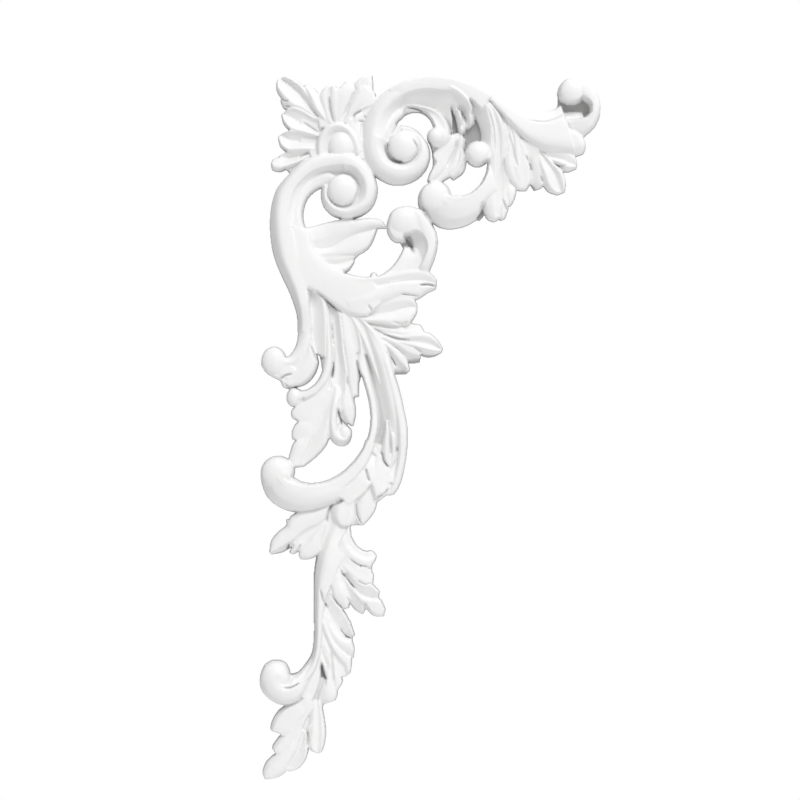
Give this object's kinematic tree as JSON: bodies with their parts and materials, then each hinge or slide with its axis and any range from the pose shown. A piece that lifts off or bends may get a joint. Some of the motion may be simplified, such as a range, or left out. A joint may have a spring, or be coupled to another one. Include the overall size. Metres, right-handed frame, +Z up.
{
  "type": "corner applique",
  "caption": "Carved corner applique of acanthus scrolls and leaves with a flat back, turned from a short arm into a long hanging drop.",
  "frame": {"origin": "on the flat back, behind the shoulder of the left volute", "axes": "+X to the right along the short arm, +Z up along the long drop, the carving faces -Y and the back +Y"},
  "size_m": [0.3083, 0.0261, 0.6375],
  "materials": {
    "casting": "satin"
  },
  "bodies": {
    "root": {"corner_applique": "casting"}
  },
  "joints": []
}
